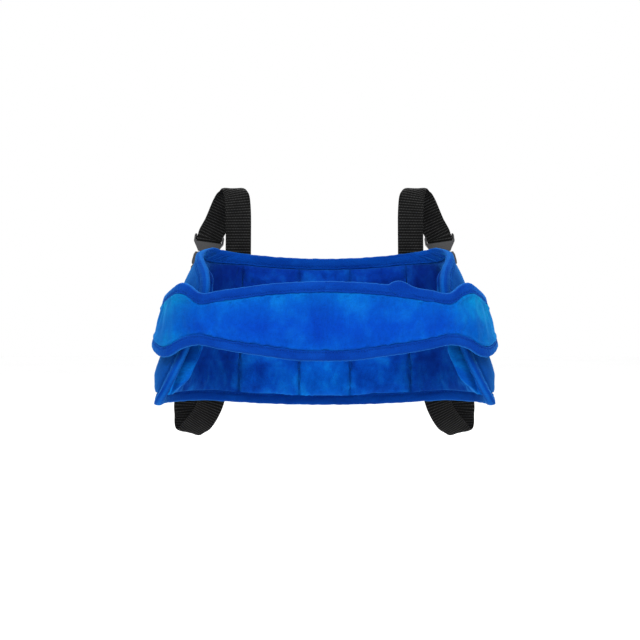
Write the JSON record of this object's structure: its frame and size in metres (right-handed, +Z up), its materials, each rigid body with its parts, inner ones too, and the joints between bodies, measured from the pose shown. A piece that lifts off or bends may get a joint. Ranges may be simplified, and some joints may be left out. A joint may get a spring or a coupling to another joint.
{
  "type": "child head support pad",
  "caption": "Quilted head support pad with curled side wings, a soft front band held by hook patches, and two buckled webbing loops for a seat head restraint.",
  "frame": {"origin": "middle of the flat back face, where the pad rests on the seat's head restraint", "axes": "+X to the right seen from the front, +Y out of the back towards the head restraint, +Z up"},
  "size_m": [0.3048, 0.1891, 0.2422],
  "materials": {
    "plush_blue": "soft brushed plush, cut pile",
    "velour_blue": "short loop velour",
    "binding_blue": "folded knit tape",
    "thread_blue": "sewing thread",
    "foam_cream": "open cell foam, hidden",
    "webbing_black": "ribbed polypropylene webbing",
    "thread_black": "sewing thread",
    "hook_black": "hook tape",
    "buckle_grey": "moulded plastic, fine grain"
  },
  "bodies": {
    "pad": {"back_cover": "velour_blue", "plush_face": "plush_blue", "foam_centre": "foam_cream", "foam_inner_left": "foam_cream", "foam_inner_right": "foam_cream", "foam_wing_left": "foam_cream", "foam_wing_right": "foam_cream", "pad_binding": "binding_blue", "channel_stitching": "thread_blue", "lower_strap_left": "webbing_black", "lower_strap_right": "webbing_black", "strap_stitching_left": "thread_black", "strap_stitching_right": "thread_black", "buckle_socket_left": "buckle_grey", "buckle_socket_right": "buckle_grey"},
    "front_band": {"band_face": "plush_blue", "band_lining": "velour_blue", "band_foam": "foam_cream", "band_binding": "binding_blue"},
    "tab_left": {"tab_face_left": "plush_blue", "tab_lining_left": "velour_blue", "tab_foam_left": "foam_cream", "tab_binding_left": "binding_blue", "hook_patch_left": "hook_black"},
    "plug_left": {"upper_strap_left": "webbing_black", "buckle_plug_left": "buckle_grey"},
    "arm_left_outer": {"buckle_arm_left_outer": "buckle_grey"},
    "arm_left_inner": {"buckle_arm_left_inner": "buckle_grey"},
    "tab_right": {"tab_face_right": "plush_blue", "tab_lining_right": "velour_blue", "tab_foam_right": "foam_cream", "tab_binding_right": "binding_blue", "hook_patch_right": "hook_black"},
    "plug_right": {"upper_strap_right": "webbing_black", "buckle_plug_right": "buckle_grey"},
    "arm_right_outer": {"buckle_arm_right_outer": "buckle_grey"},
    "arm_right_inner": {"buckle_arm_right_inner": "buckle_grey"}
  },
  "joints": [
    {"name": "band_height", "type": "slide", "parent": "pad", "child": "front_band", "axis": [0, 0, 1], "range_m": [0, 0.03]},
    {"name": "tab_left_peel", "type": "hinge", "parent": "front_band", "child": "tab_left", "pos_m": [-0.1315, -0.1175, 0], "axis": [0, 0, 1], "range_deg": [0, 100]},
    {"name": "buckle_left_release", "type": "slide", "parent": "pad", "child": "plug_left", "axis": [0.1392, 0, 0.9903], "range_m": [0, 0.031], "deforming": ["buckle_arm_left_outer", "buckle_arm_left_inner"]},
    {"name": "arm_left_outer_squeeze", "type": "hinge", "parent": "plug_left", "child": "arm_left_outer", "pos_m": [-0.1217, 0.041, 0.0669], "axis": [0, -1, 0], "range_deg": [0, 10], "stiffness_Nm_per_rad": 0.3},
    {"name": "arm_left_inner_squeeze", "type": "hinge", "parent": "plug_left", "child": "arm_left_inner", "pos_m": [-0.1073, 0.041, 0.0649], "axis": [0, 1, 0], "range_deg": [0, 10], "stiffness_Nm_per_rad": 0.3},
    {"name": "tab_right_peel", "type": "hinge", "parent": "front_band", "child": "tab_right", "pos_m": [0.1315, -0.1175, 0], "axis": [0, 0, -1], "range_deg": [0, 100]},
    {"name": "buckle_right_release", "type": "slide", "parent": "pad", "child": "plug_right", "axis": [-0.1392, 0, 0.9903], "range_m": [0, 0.031], "deforming": ["buckle_arm_right_outer", "buckle_arm_right_inner"]},
    {"name": "arm_right_outer_squeeze", "type": "hinge", "parent": "plug_right", "child": "arm_right_outer", "pos_m": [0.1217, 0.041, 0.0669], "axis": [0, 1, 0], "range_deg": [0, 10], "stiffness_Nm_per_rad": 0.3},
    {"name": "arm_right_inner_squeeze", "type": "hinge", "parent": "plug_right", "child": "arm_right_inner", "pos_m": [0.1073, 0.041, 0.0649], "axis": [0, -1, 0], "range_deg": [0, 10], "stiffness_Nm_per_rad": 0.3}
  ]
}
